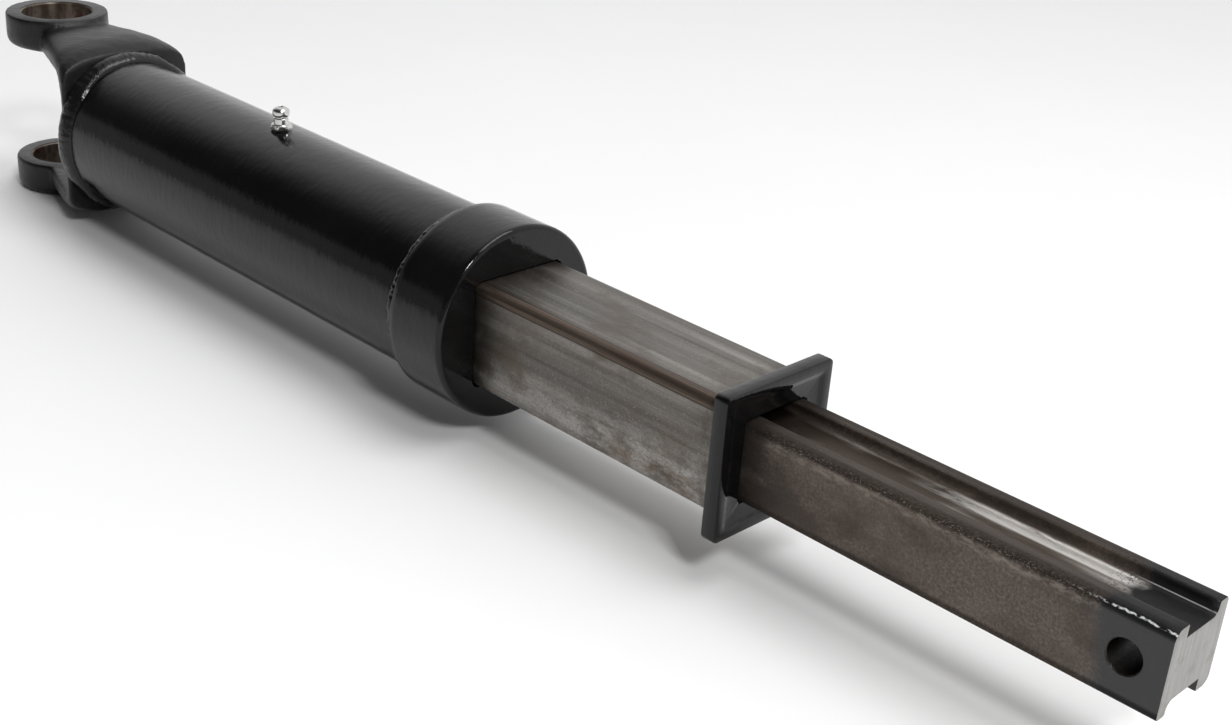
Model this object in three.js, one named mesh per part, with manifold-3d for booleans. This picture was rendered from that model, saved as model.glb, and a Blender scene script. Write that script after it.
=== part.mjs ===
// Telescopic drive shaft: a weld yoke on a round outer tube, a square tube
// that slides in the tube's end collar, and a square bar that slides in the
// square tube.  Millimetres.  +X runs along the shaft from the yoke's joint
// centre (the origin) to the end of the bar, +Z is up through the yoke's bores.
import * as THREE from 'three';
import { mergeVertices } from 'three/addons/utils/BufferGeometryUtils.js';
import Module from 'manifold-3d';

const wasm = await Module();
wasm.setup();

// ---------------------------------------------------------------- dimensions
const GAP = 0.3;                 // clearance between pieces that touch
const SEG = 48;                  // facets round a large circle

// weld yoke
const EAR_OUT = 40.2;            // outer face of an ear, from the shaft axis
const EAR_IN = 26.2;             // inner face of an ear
const EAR_R = 22.1;              // outside radius of the ear's ring
const BORE_R = 15.1;             // radius of the cross bore
const BORE_CHAMFER = 0.6;
const HUB_X0 = 53.0;             // rear face of the hub
const HUB_X1 = 57.5;             // start of the weld groove
const HUB_R = 32.0;
const GROOVE_R = 29.0;           // root of the weld groove
const SPIGOT_X0 = 60.0;
const SPIGOT_X1 = 78.0;
const SPIGOT_R = 26.4;

// round outer tube
const TUBE_R = 31.75;
const TUBE_IN_R = 26.75;
const TUBE_X0 = SPIGOT_X0 + GAP;
const TUBE_X1 = 299.5;

// end collar with the square bore
const COLLAR_R = 35.3;
const COLLAR_X0 = 285.9;
const COLLAR_X1 = 312.5;
const COLLAR_BORE = 19.4;        // half width of the square bore
const WIPER_X0 = 303.6;
const WIPER_X1 = 307.2;

// square intermediate tube
const SQ = 19.05;                // half width outside
const SQ_R = 3.0;                // corner radius
const SQ_IN = 14.3;              // half width inside
const SQ_IN_R = 1.5;
const SQ_X0 = 200.0;
const SQ_X1 = 423.7;

// square end plate on the intermediate tube
const PLATE = 24.4;              // half width
const PLATE_R = 1.7;
const PLATE_X0 = 424.0;
const PLATE_X1 = 429.5;
const PLATE_RECESS = 20.0;       // half width of the recessed face
const PLATE_RECESS_D = 1.1;
const PLATE_OPEN = 13.95;        // half width of the opening

// rear stop on the intermediate tube
const STOP_X0 = 192.0;
const STOP_X1 = 215.0;
const STOP_R = 26.3;
const PIN_R = 2.9;
const PIN_REAR_X = 204.6;
const PIN_FRONT_X = 211.0;

// grooved inner bar
const BAR = 13.5;                // half width
const BAR_X0 = 330.0;
const BAR_X1 = 569.1;
const BAR_HOLE_X = BAR_X1 - 12.0;
const BAR_HOLE_R = 5.05;

// guide block on the rear end of the bar
const BLOCK_X0 = 312.0;
const BLOCK_X1 = BAR_X0 - GAP;
const BLOCK = 14.15;

// grease nipple
const NIP_X = 173.0;
const NIP_SEAT = TUBE_R + GAP;

// ---------------------------------------------------------------- materials
const mat = (color, roughness, metalness) =>
  new THREE.MeshStandardMaterial({ color, roughness, metalness });
const forgedBlack = () => mat(0x1b1c1c, 0.5, 0.2);
const glossBlack = () => mat(0x131414, 0.22, 0.2);
const bareSteel = () => mat(0x77736d, 0.45, 0.9);
const barSteel = () => mat(0x6a625c, 0.6, 0.8);
const zinc = () => mat(0xc9c9c6, 0.2, 1.0);
const darkSteel = () => mat(0x3c3d40, 0.5, 0.8);
const rubber = () => mat(0x15130f, 0.9, 0.0);

// ------------------------------------------------------------------ helpers
// three.js geometry -> manifold solid
function solid(geometry) {
  const g = (geometry.index ? geometry : geometry.clone()).clone();
  g.deleteAttribute('normal');
  g.deleteAttribute('uv');
  const m = mergeVertices(g, 1e-4);
  const pos = m.attributes.position.array;
  const idx = m.index.array;
  const tris = [];
  let vol = 0;
  const P = (i) => [pos[3 * i], pos[3 * i + 1], pos[3 * i + 2]];
  for (let i = 0; i < idx.length; i += 3) {
    const [a, b, c] = [idx[i], idx[i + 1], idx[i + 2]];
    if (a === b || b === c || c === a) continue;
    tris.push(a, b, c);
    const [p, q, r] = [P(a), P(b), P(c)];
    vol += p[0] * (q[1] * r[2] - q[2] * r[1]) +
           p[1] * (q[2] * r[0] - q[0] * r[2]) +
           p[2] * (q[0] * r[1] - q[1] * r[0]);
  }
  if (vol < 0) for (let i = 0; i < tris.length; i += 3) {
    const t = tris[i + 1]; tris[i + 1] = tris[i + 2]; tris[i + 2] = t;
  }
  return new wasm.Manifold(new wasm.Mesh({
    numProp: 3,
    vertProperties: new Float32Array(pos),
    triVerts: new Uint32Array(tris),
  }));
}

// manifold solid -> three.js geometry
function geometryOf(body) {
  const m = body.getMesh();
  const g = new THREE.BufferGeometry();
  g.setAttribute('position', new THREE.BufferAttribute(new Float32Array(m.vertProperties), 3));
  g.setIndex(new THREE.BufferAttribute(new Uint32Array(m.triVerts), 1));
  g.computeVertexNormals();
  return g;
}

const X = new THREE.Vector3(1, 0, 0);
const Y = new THREE.Vector3(0, 1, 0);
const Z = new THREE.Vector3(0, 0, 1);
const basis = (a, b, c) => new THREE.Matrix4().makeBasis(a, b, c);

// outline in (y, z) pushed along X from x0 to x1
function prismX(points, x0, x1) {
  const s = new THREE.Shape(points.map(([a, b]) => new THREE.Vector2(a, b)));
  const g = new THREE.ExtrudeGeometry(s, { depth: x1 - x0, bevelEnabled: false, steps: 1 });
  g.applyMatrix4(basis(Y, Z, X));
  g.translate(x0, 0, 0);
  return solid(g);
}

// closed profile of [x, r] turned about the X axis
function turnX(profile, seg = SEG) {
  const pts = profile.map(([x, r]) => new THREE.Vector2(r, x));
  pts.push(pts[0].clone());
  const g = new THREE.LatheGeometry(pts, seg);
  g.applyMatrix4(basis(Y, X, Z));        // lathe axis (local Y) becomes X
  return solid(g);
}

// closed profile of [z, r] turned about a vertical axis through (x, y)
function turnZ(profile, x, y, seg = SEG) {
  const pts = profile.map(([z, r]) => new THREE.Vector2(r, z));
  pts.push(pts[0].clone());
  const g = new THREE.LatheGeometry(pts, seg);
  g.applyMatrix4(basis(Y, Z, X));
  g.translate(x, y, 0);
  return solid(g);
}

// cylinder of radius r along axis 'x', 'y' or 'z' between a and b
function rod(axis, r, a, b, c1, c2, seg = 24) {
  const g = new THREE.CylinderGeometry(r, r, b - a, seg);
  if (axis === 'x') { g.rotateZ(-Math.PI / 2); g.translate((a + b) / 2, c1, c2); }
  if (axis === 'y') { g.translate(c1, (a + b) / 2, c2); }
  if (axis === 'z') { g.rotateX(Math.PI / 2); g.translate(c1, c2, (a + b) / 2); }
  return solid(g);
}

// square outline of half width h with corner radius r
function roundSquare(h, r, n = 4) {
  const pts = [];
  const corners = [[1, 1, 0], [-1, 1, 90], [-1, -1, 180], [1, -1, 270]];
  for (const [sy, sz, a0] of corners)
    for (let i = 0; i <= n; i++) {
      const a = ((a0 + (90 * i) / n) * Math.PI) / 180;
      pts.push([sy * (h - r) + r * Math.cos(a), sz * (h - r) + r * Math.sin(a)]);
    }
  return pts;
}

// value of a piecewise smooth curve through [x, v] knots
function curve(knots, x) {
  if (x <= knots[0][0]) return knots[0][1];
  for (let i = 1; i < knots.length; i++) {
    if (x <= knots[i][0]) {
      const [x0, v0] = knots[i - 1];
      const [x1, v1] = knots[i];
      const p = knots[i - 2] || knots[i - 1];
      const q = knots[i + 1] || knots[i];
      const m0 = (v1 - p[1]) / (x1 - p[0]);
      const m1 = (q[1] - v0) / (q[0] - x0);
      const t = (x - x0) / (x1 - x0);
      const h = x1 - x0;
      return (2 * t ** 3 - 3 * t ** 2 + 1) * v0 + (t ** 3 - 2 * t ** 2 + t) * h * m0 +
             (-2 * t ** 3 + 3 * t ** 2) * v1 + (t ** 3 - t ** 2) * h * m1;
    }
  }
  return knots[knots.length - 1][1];
}

const group = new THREE.Group();
function add(name, body, material) {
  const mesh = new THREE.Mesh(geometryOf(body), material);
  mesh.name = name;
  group.add(mesh);
}

// --------------------------------------------------------------- weld yoke
// Each arm is a forged strap from the ear's ring to the hub: it widens toward
// the hub, its outer face is crowned, and its inner face ends in the throat.
const ARM_W = [[0, 15], [8, 15.4], [14, 16.2], [22, 18.6], [32, 22], [40, 24.6], [48, 27.2], [54, 29.2], [57.5, 30]];
const ARM_CROWN = [[0, 38.2], [20, 38.4], [34, 38.6], [44, 38.4], [50, 37.6], [54, 36.4], [57.5, 34.6]];
const ARM_DROP = [[0, 3.4], [22, 3.6], [40, 5.2], [50, 6.2], [57.5, 6.6]];
const THROAT_X = 44.0;
const THROAT_R = HUB_X0 - THROAT_X;

function arm(sign) {
  const xs = [2, 8, 14, 18, 22, 27, 32, 36, 40, 44, 47, 49.5, 51.5, 53, 54.5, 56, 57.5];
  const vs = [-1, -0.97, -0.88, -0.7, -0.45, -0.15, 0.15, 0.45, 0.7, 0.88, 0.97, 1];
  const pos = [];
  const idx = [];
  const nv = vs.length;
  for (let side = 0; side < 2; side++)
    for (const x of xs) for (const v of vs) {
      const w = curve(ARM_W, x);
      const a = Math.abs(v);
      let z;
      if (side === 0) {
        z = curve(ARM_CROWN, x) - curve(ARM_DROP, x) * (0.45 * a * a + 0.55 * a ** 6);
      } else {
        z = EAR_IN;
        if (x > THROAT_X) {
          const d = Math.min(x - THROAT_X, THROAT_R * 0.999);
          z = EAR_IN - (THROAT_R - Math.sqrt(THROAT_R ** 2 - d ** 2));
        }
        if (x >= HUB_X0) z = 12;
        z += a > 0.9 ? 0.8 * (a - 0.9) * 10 : 0;
      }
      pos.push(x, v * w, sign * z);
    }
  const N = xs.length * nv;
  const at = (s, i, j) => s * N + i * nv + j;
  const quad = (a, b, c, d) => idx.push(a, b, c, a, c, d);
  for (let i = 0; i < xs.length - 1; i++) {
    for (let j = 0; j < nv - 1; j++) {
      quad(at(0, i, j), at(0, i + 1, j), at(0, i + 1, j + 1), at(0, i, j + 1));
      quad(at(1, i, j), at(1, i, j + 1), at(1, i + 1, j + 1), at(1, i + 1, j));
    }
    quad(at(0, i, 0), at(1, i, 0), at(1, i + 1, 0), at(0, i + 1, 0));
    quad(at(0, i, nv - 1), at(0, i + 1, nv - 1), at(1, i + 1, nv - 1), at(1, i, nv - 1));
  }
  for (let j = 0; j < nv - 1; j++) {
    quad(at(0, 0, j), at(0, 0, j + 1), at(1, 0, j + 1), at(1, 0, j));
    const e = xs.length - 1;
    quad(at(0, e, j), at(1, e, j), at(1, e, j + 1), at(0, e, j + 1));
  }
  const g = new THREE.BufferGeometry();
  g.setAttribute('position', new THREE.BufferAttribute(new Float32Array(pos), 3));
  g.setIndex(idx);
  return solid(g);
}

function ear(sign) {
  const a = sign > 0 ? EAR_IN : -EAR_OUT;
  const b = sign > 0 ? EAR_OUT : -EAR_IN;
  return turnZ([[a, 0], [a, EAR_R - 1], [a + 1, EAR_R], [b - 1, EAR_R], [b, EAR_R - 1], [b, 0]], 0, 0);
}

function bore(sign) {
  const a = sign > 0 ? EAR_IN : -EAR_OUT;
  const b = sign > 0 ? EAR_OUT : -EAR_IN;
  const c = BORE_CHAMFER;
  return turnZ([[a - 1, 0], [a - 1, BORE_R + c + 1], [a + c, BORE_R], [b - c, BORE_R],
                [b + 1, BORE_R + c + 1], [b + 1, 0]], 0, 0);
}

let yoke = turnX([
  [HUB_X0, 0], [HUB_X0, HUB_R - 1.5], [HUB_X0 + 1.5, HUB_R], [HUB_X1, HUB_R],
  [HUB_X1, GROOVE_R], [SPIGOT_X0, GROOVE_R], [SPIGOT_X0, SPIGOT_R],
  [SPIGOT_X1 - 1.5, SPIGOT_R], [SPIGOT_X1, SPIGOT_R - 1.5], [SPIGOT_X1, 0],
]);
for (const s of [1, -1]) yoke = yoke.add(arm(s)).add(ear(s));
for (const s of [1, -1]) yoke = yoke.subtract(bore(s));
add('yoke', yoke, forgedBlack());

// weld between the yoke's hub and the outer tube, its crest uneven
function bead(profile, seg, wave) {
  const pts = profile.map(([x, r]) => new THREE.Vector2(r, x));
  pts.push(pts[0].clone());
  const g = new THREE.LatheGeometry(pts, seg);
  g.applyMatrix4(basis(Y, X, Z));
  if (wave) {
    const p = g.attributes.position;
    for (let i = 0; i < p.count; i++) {
      const y = p.getY(i), z = p.getZ(i);
      const r = Math.hypot(y, z), a = Math.atan2(z, y);
      if (r < wave.from) continue;
      const k = 1 + (wave.amp * Math.sin(wave.n * Math.round(a / (2 * Math.PI) * seg))) / r;
      p.setY(i, y * k); p.setZ(i, z * k);
    }
  }
  return solid(g);
}
add('yoke_weld_bead', bead([
  [HUB_X1 + GAP, GROOVE_R + GAP], [HUB_X1 + GAP, 33.2], [59.2, 34.7], [61.2, 35.2],
  [63.4, 34.6], [65.0, 33.3], [65.7, TUBE_R + GAP + 0.15], [65.4, TUBE_R + GAP],
  [SPIGOT_X0, TUBE_R + GAP], [SPIGOT_X0, GROOVE_R + GAP],
], SEG, { from: 34, amp: 0.18, n: 1.9 }), forgedBlack());

// --------------------------------------------------------------- outer tube
let tube = turnX([
  [TUBE_X0, TUBE_IN_R], [TUBE_X0, TUBE_R], [TUBE_X1, TUBE_R], [TUBE_X1, TUBE_IN_R],
]);
tube = tube.subtract(rod('z', 3.2, 20, 40, NIP_X, 0));
add('outer_tube', tube, glossBlack());

// --------------------------------------------------------------- end collar
let collar = turnX([
  [COLLAR_X0, 0], [COLLAR_X0, COLLAR_R - 0.6], [COLLAR_X0 + 0.6, COLLAR_R],
  [COLLAR_X1 - 1.2, COLLAR_R], [COLLAR_X1 - 0.3, COLLAR_R - 0.45],
  [COLLAR_X1, COLLAR_R - 1.4], [COLLAR_X1, 0],
]);
collar = collar.subtract(turnX([
  [COLLAR_X0 - 1, 0], [COLLAR_X0 - 1, TUBE_R + GAP], [TUBE_X1 + GAP, TUBE_R + GAP], [TUBE_X1 + GAP, 0],
]));
collar = collar.subtract(prismX(roundSquare(COLLAR_BORE, 2.8), 290, 320));
collar = collar.subtract(prismX(roundSquare(21.6, 3.5), WIPER_X0 - GAP, WIPER_X1 + GAP));
add('end_collar', collar, glossBlack());

add('collar_weld_bead', bead([
  [COLLAR_X0 - GAP, TUBE_R + GAP], [281.9, TUBE_R + GAP], [281.6, TUBE_R + GAP + 0.2],
  [282.3, 33.3], [283.6, 34.4], [285.0, 35.0], [COLLAR_X0 - GAP, 35.1],
], SEG, { from: 34, amp: 0.15, n: 2.3 }), glossBlack());

// wiper ring in the collar's inner groove, against the square tube
add('collar_wiper', prismX(roundSquare(21.3, 3.2), WIPER_X0, WIPER_X1)
  .subtract(prismX(roundSquare(SQ + 0.2, 3.1), WIPER_X0 - 1, WIPER_X1 + 1)), rubber());

// ------------------------------------------------------------- grease nipple
// Threaded shank through the tube wall, hexagon, neck and button head, with a
// passage that a spring-loaded ball closes.
{
  const hex = new THREE.CylinderGeometry(4.2, 4.2, 3.4, 6);
  hex.rotateX(Math.PI / 2);
  hex.translate(NIP_X, 0, NIP_SEAT + 1.7);
  let nip = solid(hex);
  nip = nip.add(turnZ([
    [26.4, 0], [26.4, 2.5], [26.9, 2.9], [NIP_SEAT + 0.5, 2.9], [NIP_SEAT + 3.0, 3.2],
    [NIP_SEAT + 3.9, 2.6], [NIP_SEAT + 4.2, 2.3], [NIP_SEAT + 5.1, 2.3], [NIP_SEAT + 5.7, 3.0],
    [NIP_SEAT + 6.5, 3.25], [NIP_SEAT + 7.3, 3.05], [NIP_SEAT + 8.3, 2.1], [NIP_SEAT + 8.8, 1.5],
    [NIP_SEAT + 8.9, 0],
  ], NIP_X, 0, 24));
  nip = nip.subtract(turnZ([
    [25, 0], [25, 0.9], [30.5, 0.9], [30.5, 1.5], [39.1, 1.5], [39.9, 0.75], [42, 0.75], [42, 0],
  ], NIP_X, 0, 16));
  add('grease_nipple', nip, zinc());

  const ball = new THREE.SphereGeometry(1.1, 14, 10);
  ball.translate(NIP_X, 0, 38.2);
  add('nipple_ball', solid(ball), zinc());

  const coil = new THREE.Curve();
  coil.getPoint = (t) => {
    const a = t * 6 * 2 * Math.PI;
    return new THREE.Vector3(NIP_X + 0.95 * Math.cos(a), 0.95 * Math.sin(a), 31.0 + t * 5.4);
  };
  const ring = new THREE.Shape();
  for (let i = 0; i < 6; i++) {
    const a = (i * Math.PI) / 3;
    if (i) ring.lineTo(0.2 * Math.cos(a), 0.2 * Math.sin(a));
    else ring.moveTo(0.2, 0);
  }
  ring.closePath();
  add('nipple_spring', solid(new THREE.ExtrudeGeometry(ring, { steps: 72, extrudePath: coil, bevelEnabled: false })), darkSteel());
}

// --------------------------------------------------------------- square tube
let square = prismX(roundSquare(SQ, SQ_R, 6), SQ_X0, SQ_X1)
  .subtract(prismX(roundSquare(SQ_IN, SQ_IN_R), SQ_X0 - 1, SQ_X1 + 1))
  .subtract(rod('y', PIN_R + GAP, -25, 25, PIN_REAR_X, 0))
  .subtract(rod('z', PIN_R + GAP, -25, 25, PIN_FRONT_X, 0));
add('square_tube', square, bareSteel());

// ----------------------------------------------------------------- end plate
// A thin square plate: a raised rim, then a sloping step down to the centre.
{
  const step = [];
  const n = 4;
  const outer = roundSquare(PLATE_RECESS + 0.7, 1.6, n);
  const inner = roundSquare(PLATE_RECESS - 0.5, 1.0, n);
  const xs = [PLATE_X1 + 0.2, PLATE_X1 - PLATE_RECESS_D];
  const pos = [];
  for (const [y, z] of outer) pos.push(xs[0], y, z);
  for (const [y, z] of inner) pos.push(xs[1], y, z);
  const m = outer.length;
  for (let i = 0; i < m; i++) {
    const j = (i + 1) % m;
    step.push(i, j, m + j, i, m + j, m + i);
  }
  for (let i = 1; i < m - 1; i++) {
    step.push(0, i + 1, i);
    step.push(m, m + i, m + i + 1);
  }
  const g = new THREE.BufferGeometry();
  g.setAttribute('position', new THREE.BufferAttribute(new Float32Array(pos), 3));
  g.setIndex(step);
  const plate = prismX(roundSquare(PLATE, PLATE_R), PLATE_X0, PLATE_X1)
    .subtract(solid(g))
    .subtract(prismX(roundSquare(PLATE_OPEN, 1.4), PLATE_X0 - 1, PLATE_X1 + 1));
  add('end_plate', plate, glossBlack());
}

// small fillet weld round the square tube at the back of the plate
{
  const a = roundSquare(SQ + GAP, SQ_R + GAP);
  const b = roundSquare(SQ + 1.3, SQ_R + 1.3);
  const x0 = 422.3, x1 = PLATE_X0 - GAP;
  const m = a.length;
  const pos = [];
  for (const [y, z] of a) pos.push(x0, y, z);
  for (const [y, z] of a) pos.push(x1, y, z);
  for (const [y, z] of b) pos.push(x1, y, z);
  const idx = [];
  for (let i = 0; i < m; i++) {
    const j = (i + 1) % m;
    idx.push(i, m + j, j, i, m + i, m + j);
    idx.push(m + i, 2 * m + j, m + j, m + i, 2 * m + i, 2 * m + j);
    idx.push(2 * m + i, j, 2 * m + j, 2 * m + i, i, j);
  }
  const g = new THREE.BufferGeometry();
  g.setAttribute('position', new THREE.BufferAttribute(new Float32Array(pos), 3));
  g.setIndex(idx);
  add('end_plate_weld_bead', solid(g), glossBlack());
}

// ----------------------------------------------- rear stop of the square tube
// A flange that runs in the round tube and can't pass the collar, on a square
// spigot pinned into the tube, with a grease passage along its axis.
{
  const g = 0.35;
  const stop = turnX([
    [STOP_X0, 0], [STOP_X0, STOP_R - 0.8], [STOP_X0 + 0.8, STOP_R],
    [SQ_X0 - GAP - 0.8, STOP_R], [SQ_X0 - GAP, STOP_R - 0.8], [SQ_X0 - GAP, 0],
  ]).add(prismX(roundSquare(SQ_IN - g, 1.8), SQ_X0 - 4, STOP_X1))
    .subtract(rod('x', 4, STOP_X0 - 1, STOP_X1 + 1, 0, 0))
    .subtract(rod('y', PIN_R + GAP, -25, 25, PIN_REAR_X, 0))
    .subtract(rod('z', PIN_R + GAP, -25, 25, PIN_FRONT_X, 0));
  add('tube_rear_stop', stop, darkSteel());
  add('stop_pin_rear', rod('y', PIN_R, -18.7, 18.7, PIN_REAR_X, 0, 20), darkSteel());
  add('stop_pin_front', rod('z', PIN_R, -18.7, 18.7, PIN_FRONT_X, 0, 20), darkSteel());
}

// ----------------------------------------------------------------- inner bar
// Square section with a shallow longitudinal groove in its top and bottom
// faces.  Each groove has one upright wall and one hollow-ground wall, and the
// section repeats when turned half a turn.
{
  const half = [];
  const arc = (cy, cz, r, a0, a1, n) => {
    for (let i = 0; i <= n; i++) {
      const a = ((a0 + ((a1 - a0) * i) / n) * Math.PI) / 180;
      half.push([cy + r * Math.cos(a), cz + r * Math.sin(a)]);
    }
  };
  // from the right side, over the top, to the left side
  arc(BAR - 1.2, BAR - 1.2, 1.2, 0, 90, 3);         // small corner
  half.push([9.6, BAR]);
  half.push([9.0, BAR - 0.5]);
  half.push([8.8, BAR - 1.6]);
  arc(6.3, 12.0, 2.45, 0, -90, 4);                  // hollow wall
  half.push([-7.0, 9.5]);                           // groove floor
  half.push([-7.0, BAR - 0.2]);                     // upright wall
  half.push([-7.2, BAR]);
  arc(-(BAR - 3.4), BAR - 3.4, 3.4, 90, 180, 5);    // large corner
  const outline = half.concat(half.map(([y, z]) => [-y, -z]));
  let bar = prismX(outline, BAR_X0, BAR_X1);
  bar = bar.subtract(rod('y', BAR_HOLE_R, -20, 20, BAR_HOLE_X, 0, 32));
  bar = bar.subtract(rod('x', 4.15, BAR_X0 - 1, BAR_X0 + 19.5, 0, 0, 20));
  add('inner_bar', bar, barSteel());
}

// --------------------------------------------- guide block behind the inner bar
{
  const block = prismX(roundSquare(BLOCK, 1.9), BLOCK_X0, BLOCK_X1)
    .subtract(rod('x', 7.2, BLOCK_X0 - 1, 324, 0, 0, 24))
    .subtract(rod('x', 4.15, 320, 331, 0, 0, 20));
  add('bar_guide_block', block, darkSteel());
  add('guide_block_washer', rod('x', 6.7, 322.1, 323.7, 0, 0, 24)
    .subtract(rod('x', 4.15, 321, 325, 0, 0, 20)), zinc());
  const socket = new THREE.CylinderGeometry(3.45, 3.45, 5, 6);
  socket.rotateZ(-Math.PI / 2);
  socket.translate(314.5 + 1.5, 0, 0);
  add('guide_block_screw', rod('x', 6.5, 314.5, 321.8, 0, 0, 24)
    .add(rod('x', 3.8, 321, 347, 0, 0, 20))
    .subtract(solid(socket)), darkSteel());
}

export default group;
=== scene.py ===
import bpy, bmesh, math
import numpy as np
from mathutils import Matrix, Vector, noise


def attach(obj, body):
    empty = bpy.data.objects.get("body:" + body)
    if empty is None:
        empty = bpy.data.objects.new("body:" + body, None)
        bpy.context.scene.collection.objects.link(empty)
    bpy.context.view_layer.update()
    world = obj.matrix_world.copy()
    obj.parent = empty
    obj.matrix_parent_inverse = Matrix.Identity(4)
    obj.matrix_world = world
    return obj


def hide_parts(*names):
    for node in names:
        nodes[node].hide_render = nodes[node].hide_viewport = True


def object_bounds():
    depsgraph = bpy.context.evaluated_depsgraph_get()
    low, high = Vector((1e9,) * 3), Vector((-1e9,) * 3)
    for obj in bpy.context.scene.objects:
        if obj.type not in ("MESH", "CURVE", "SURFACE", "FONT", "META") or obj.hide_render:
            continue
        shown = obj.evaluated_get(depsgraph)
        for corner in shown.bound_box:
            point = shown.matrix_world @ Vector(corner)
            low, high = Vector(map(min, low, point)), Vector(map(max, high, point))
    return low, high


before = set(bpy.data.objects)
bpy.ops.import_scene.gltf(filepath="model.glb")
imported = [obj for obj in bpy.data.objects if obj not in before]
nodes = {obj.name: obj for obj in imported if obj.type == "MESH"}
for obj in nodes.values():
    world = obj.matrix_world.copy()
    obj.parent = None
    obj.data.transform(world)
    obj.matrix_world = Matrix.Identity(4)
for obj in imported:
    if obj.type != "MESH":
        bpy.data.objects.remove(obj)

cad_box = [[float(v) for v in c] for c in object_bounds()]
MM = 0.001

# ------------------------------------------------------------------ sizes, mm
TUBE_R, TUBE_IN = 31.75, 26.75
TUBE_X0, TUBE_X1 = 60.3, 299.5
COLLAR_R, COLLAR_X0, COLLAR_X1 = 35.3, 285.9, 312.5
SQ, SQ_R, SQ_IN = 19.05, 3.0, 14.3
SQ_X0, SQ_X1 = 200.0, 423.7
PLATE, PLATE_X0, PLATE_X1 = 24.4, 424.0, 429.5
PLATE_OPEN = 13.95
BAR, BAR_X0, BAR_X1 = 13.5, 330.0, 569.1
HOLE_X, HOLE_R = 557.1, 5.05
NIP_X = 173.0


# --------------------------------------------------------------- mesh helpers
def mesh_object(name, verts, faces, smooth=True, angle=35):
    me = bpy.data.meshes.new(name)
    me.from_pydata([tuple(c * MM for c in v) for v in verts], [], faces)
    me.validate()
    bm = bmesh.new()
    bm.from_mesh(me)
    bmesh.ops.remove_doubles(bm, verts=bm.verts, dist=1e-6)
    bmesh.ops.recalc_face_normals(bm, faces=bm.faces)
    bm.to_mesh(me)
    bm.free()
    ob = bpy.data.objects.new(name, me)
    bpy.context.collection.objects.link(ob)
    if smooth:
        shade(ob, angle)
    return ob


def shade(ob, angle=35):
    """Smooth faces, with sharp edges kept where the surface turns by more than angle."""
    me = ob.data
    bm = bmesh.new()
    bm.from_mesh(me)
    lim = math.radians(angle)
    for f in bm.faces:
        f.smooth = True
    for e in bm.edges:
        e.smooth = not (len(e.link_faces) == 2 and e.calc_face_angle(0) > lim)
    bm.to_mesh(me)
    bm.free()


def loops(name, rings, closed_ring=True, caps=True, angle=35):
    """Skin of quads over rings of equal counts; closed_ring joins the last ring to the first."""
    n = len(rings[0])
    verts = [p for r in rings for p in r]
    faces = []
    m = len(rings)
    for i in range(m if closed_ring else m - 1):
        a, b = i * n, ((i + 1) % m) * n
        for j in range(n):
            k = (j + 1) % n
            faces.append((a + j, a + k, b + k, b + j))
    if caps and not closed_ring:
        faces.append(tuple(range(n - 1, -1, -1)))
        faces.append(tuple(range((m - 1) * n, m * n)))
    return mesh_object(name, verts, faces, angle=angle)


def ring_x(x, r, n=192):
    return [(x, r * math.cos(2 * math.pi * j / n), r * math.sin(2 * math.pi * j / n)) for j in range(n)]


def turned_x(name, profile, n=192, closed=True, angle=35):
    return loops(name, [ring_x(x, r, n) for x, r in profile], closed_ring=closed, caps=not closed, angle=angle)


def square_ring(x, h, r, n=8, side=10):
    """Rounded square outline with points along its sides too."""
    pts = []
    for q in range(4):
        a0 = q * 90
        sy, sz = [(1, 1), (-1, 1), (-1, -1), (1, -1)][q]
        arc = []
        for i in range(n + 1):
            a = math.radians(a0 + 90 * i / n)
            arc.append((sy * (h - r) + r * math.cos(a), sz * (h - r) + r * math.sin(a)))
        pts += arc
        # to the next corner
        ny, nz = [(-1, 1), (-1, -1), (1, -1), (1, 1)][q]
        a = math.radians(a0 + 90)
        end = (ny * (h - r) + r * math.cos(a), nz * (h - r) + r * math.sin(a))
        for i in range(1, side):
            t = i / side
            pts.append((arc[-1][0] * (1 - t) + end[0] * t, arc[-1][1] * (1 - t) + end[1] * t))
    return [(x, y, z) for y, z in pts]


def apply_mods(ob):
    dg = bpy.context.evaluated_depsgraph_get()
    me = bpy.data.meshes.new_from_object(ob.evaluated_get(dg))
    old = ob.data
    ob.modifiers.clear()
    ob.data = me
    bpy.data.meshes.remove(old)
    return ob


def boolean(ob, cutter, op="DIFFERENCE"):
    m = ob.modifiers.new("b", "BOOLEAN")
    m.object = cutter
    m.operation = op
    m.solver = "EXACT"
    bpy.context.view_layer.update()
    apply_mods(ob)
    me = cutter.data
    bpy.data.objects.remove(cutter)
    bpy.data.meshes.remove(me)
    return ob


def heal(ob):
    """Weld the tiny slits a boolean can leave and close what stays open."""
    bm = bmesh.new()
    bm.from_mesh(ob.data)
    bmesh.ops.remove_doubles(bm, verts=bm.verts, dist=2e-6)
    bmesh.ops.dissolve_degenerate(bm, edges=bm.edges, dist=1e-7)
    gap = [e for e in bm.edges if e.is_boundary]
    if gap:
        bmesh.ops.holes_fill(bm, edges=gap, sides=0)
    bm.to_mesh(ob.data)
    bm.free()
    return ob


def cyl(name, r, a, b, axis, c1=0.0, c2=0.0, n=96, profile=None):
    """Closed turned solid along an axis; profile is [(t, r)] from a to b."""
    prof = profile or [(a, r), (b, r)]
    rings = []
    for t, rr in prof:
        ring = []
        for j in range(n):
            w = 2 * math.pi * j / n
            u, v = rr * math.cos(w), rr * math.sin(w)
            ring.append({"x": (t, c1 + u, c2 + v), "y": (c1 + u, t, c2 + v), "z": (c1 + u, c2 + v, t)}[axis])
        rings.append(ring)
    return loops(name, rings, closed_ring=False, angle=30)


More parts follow.
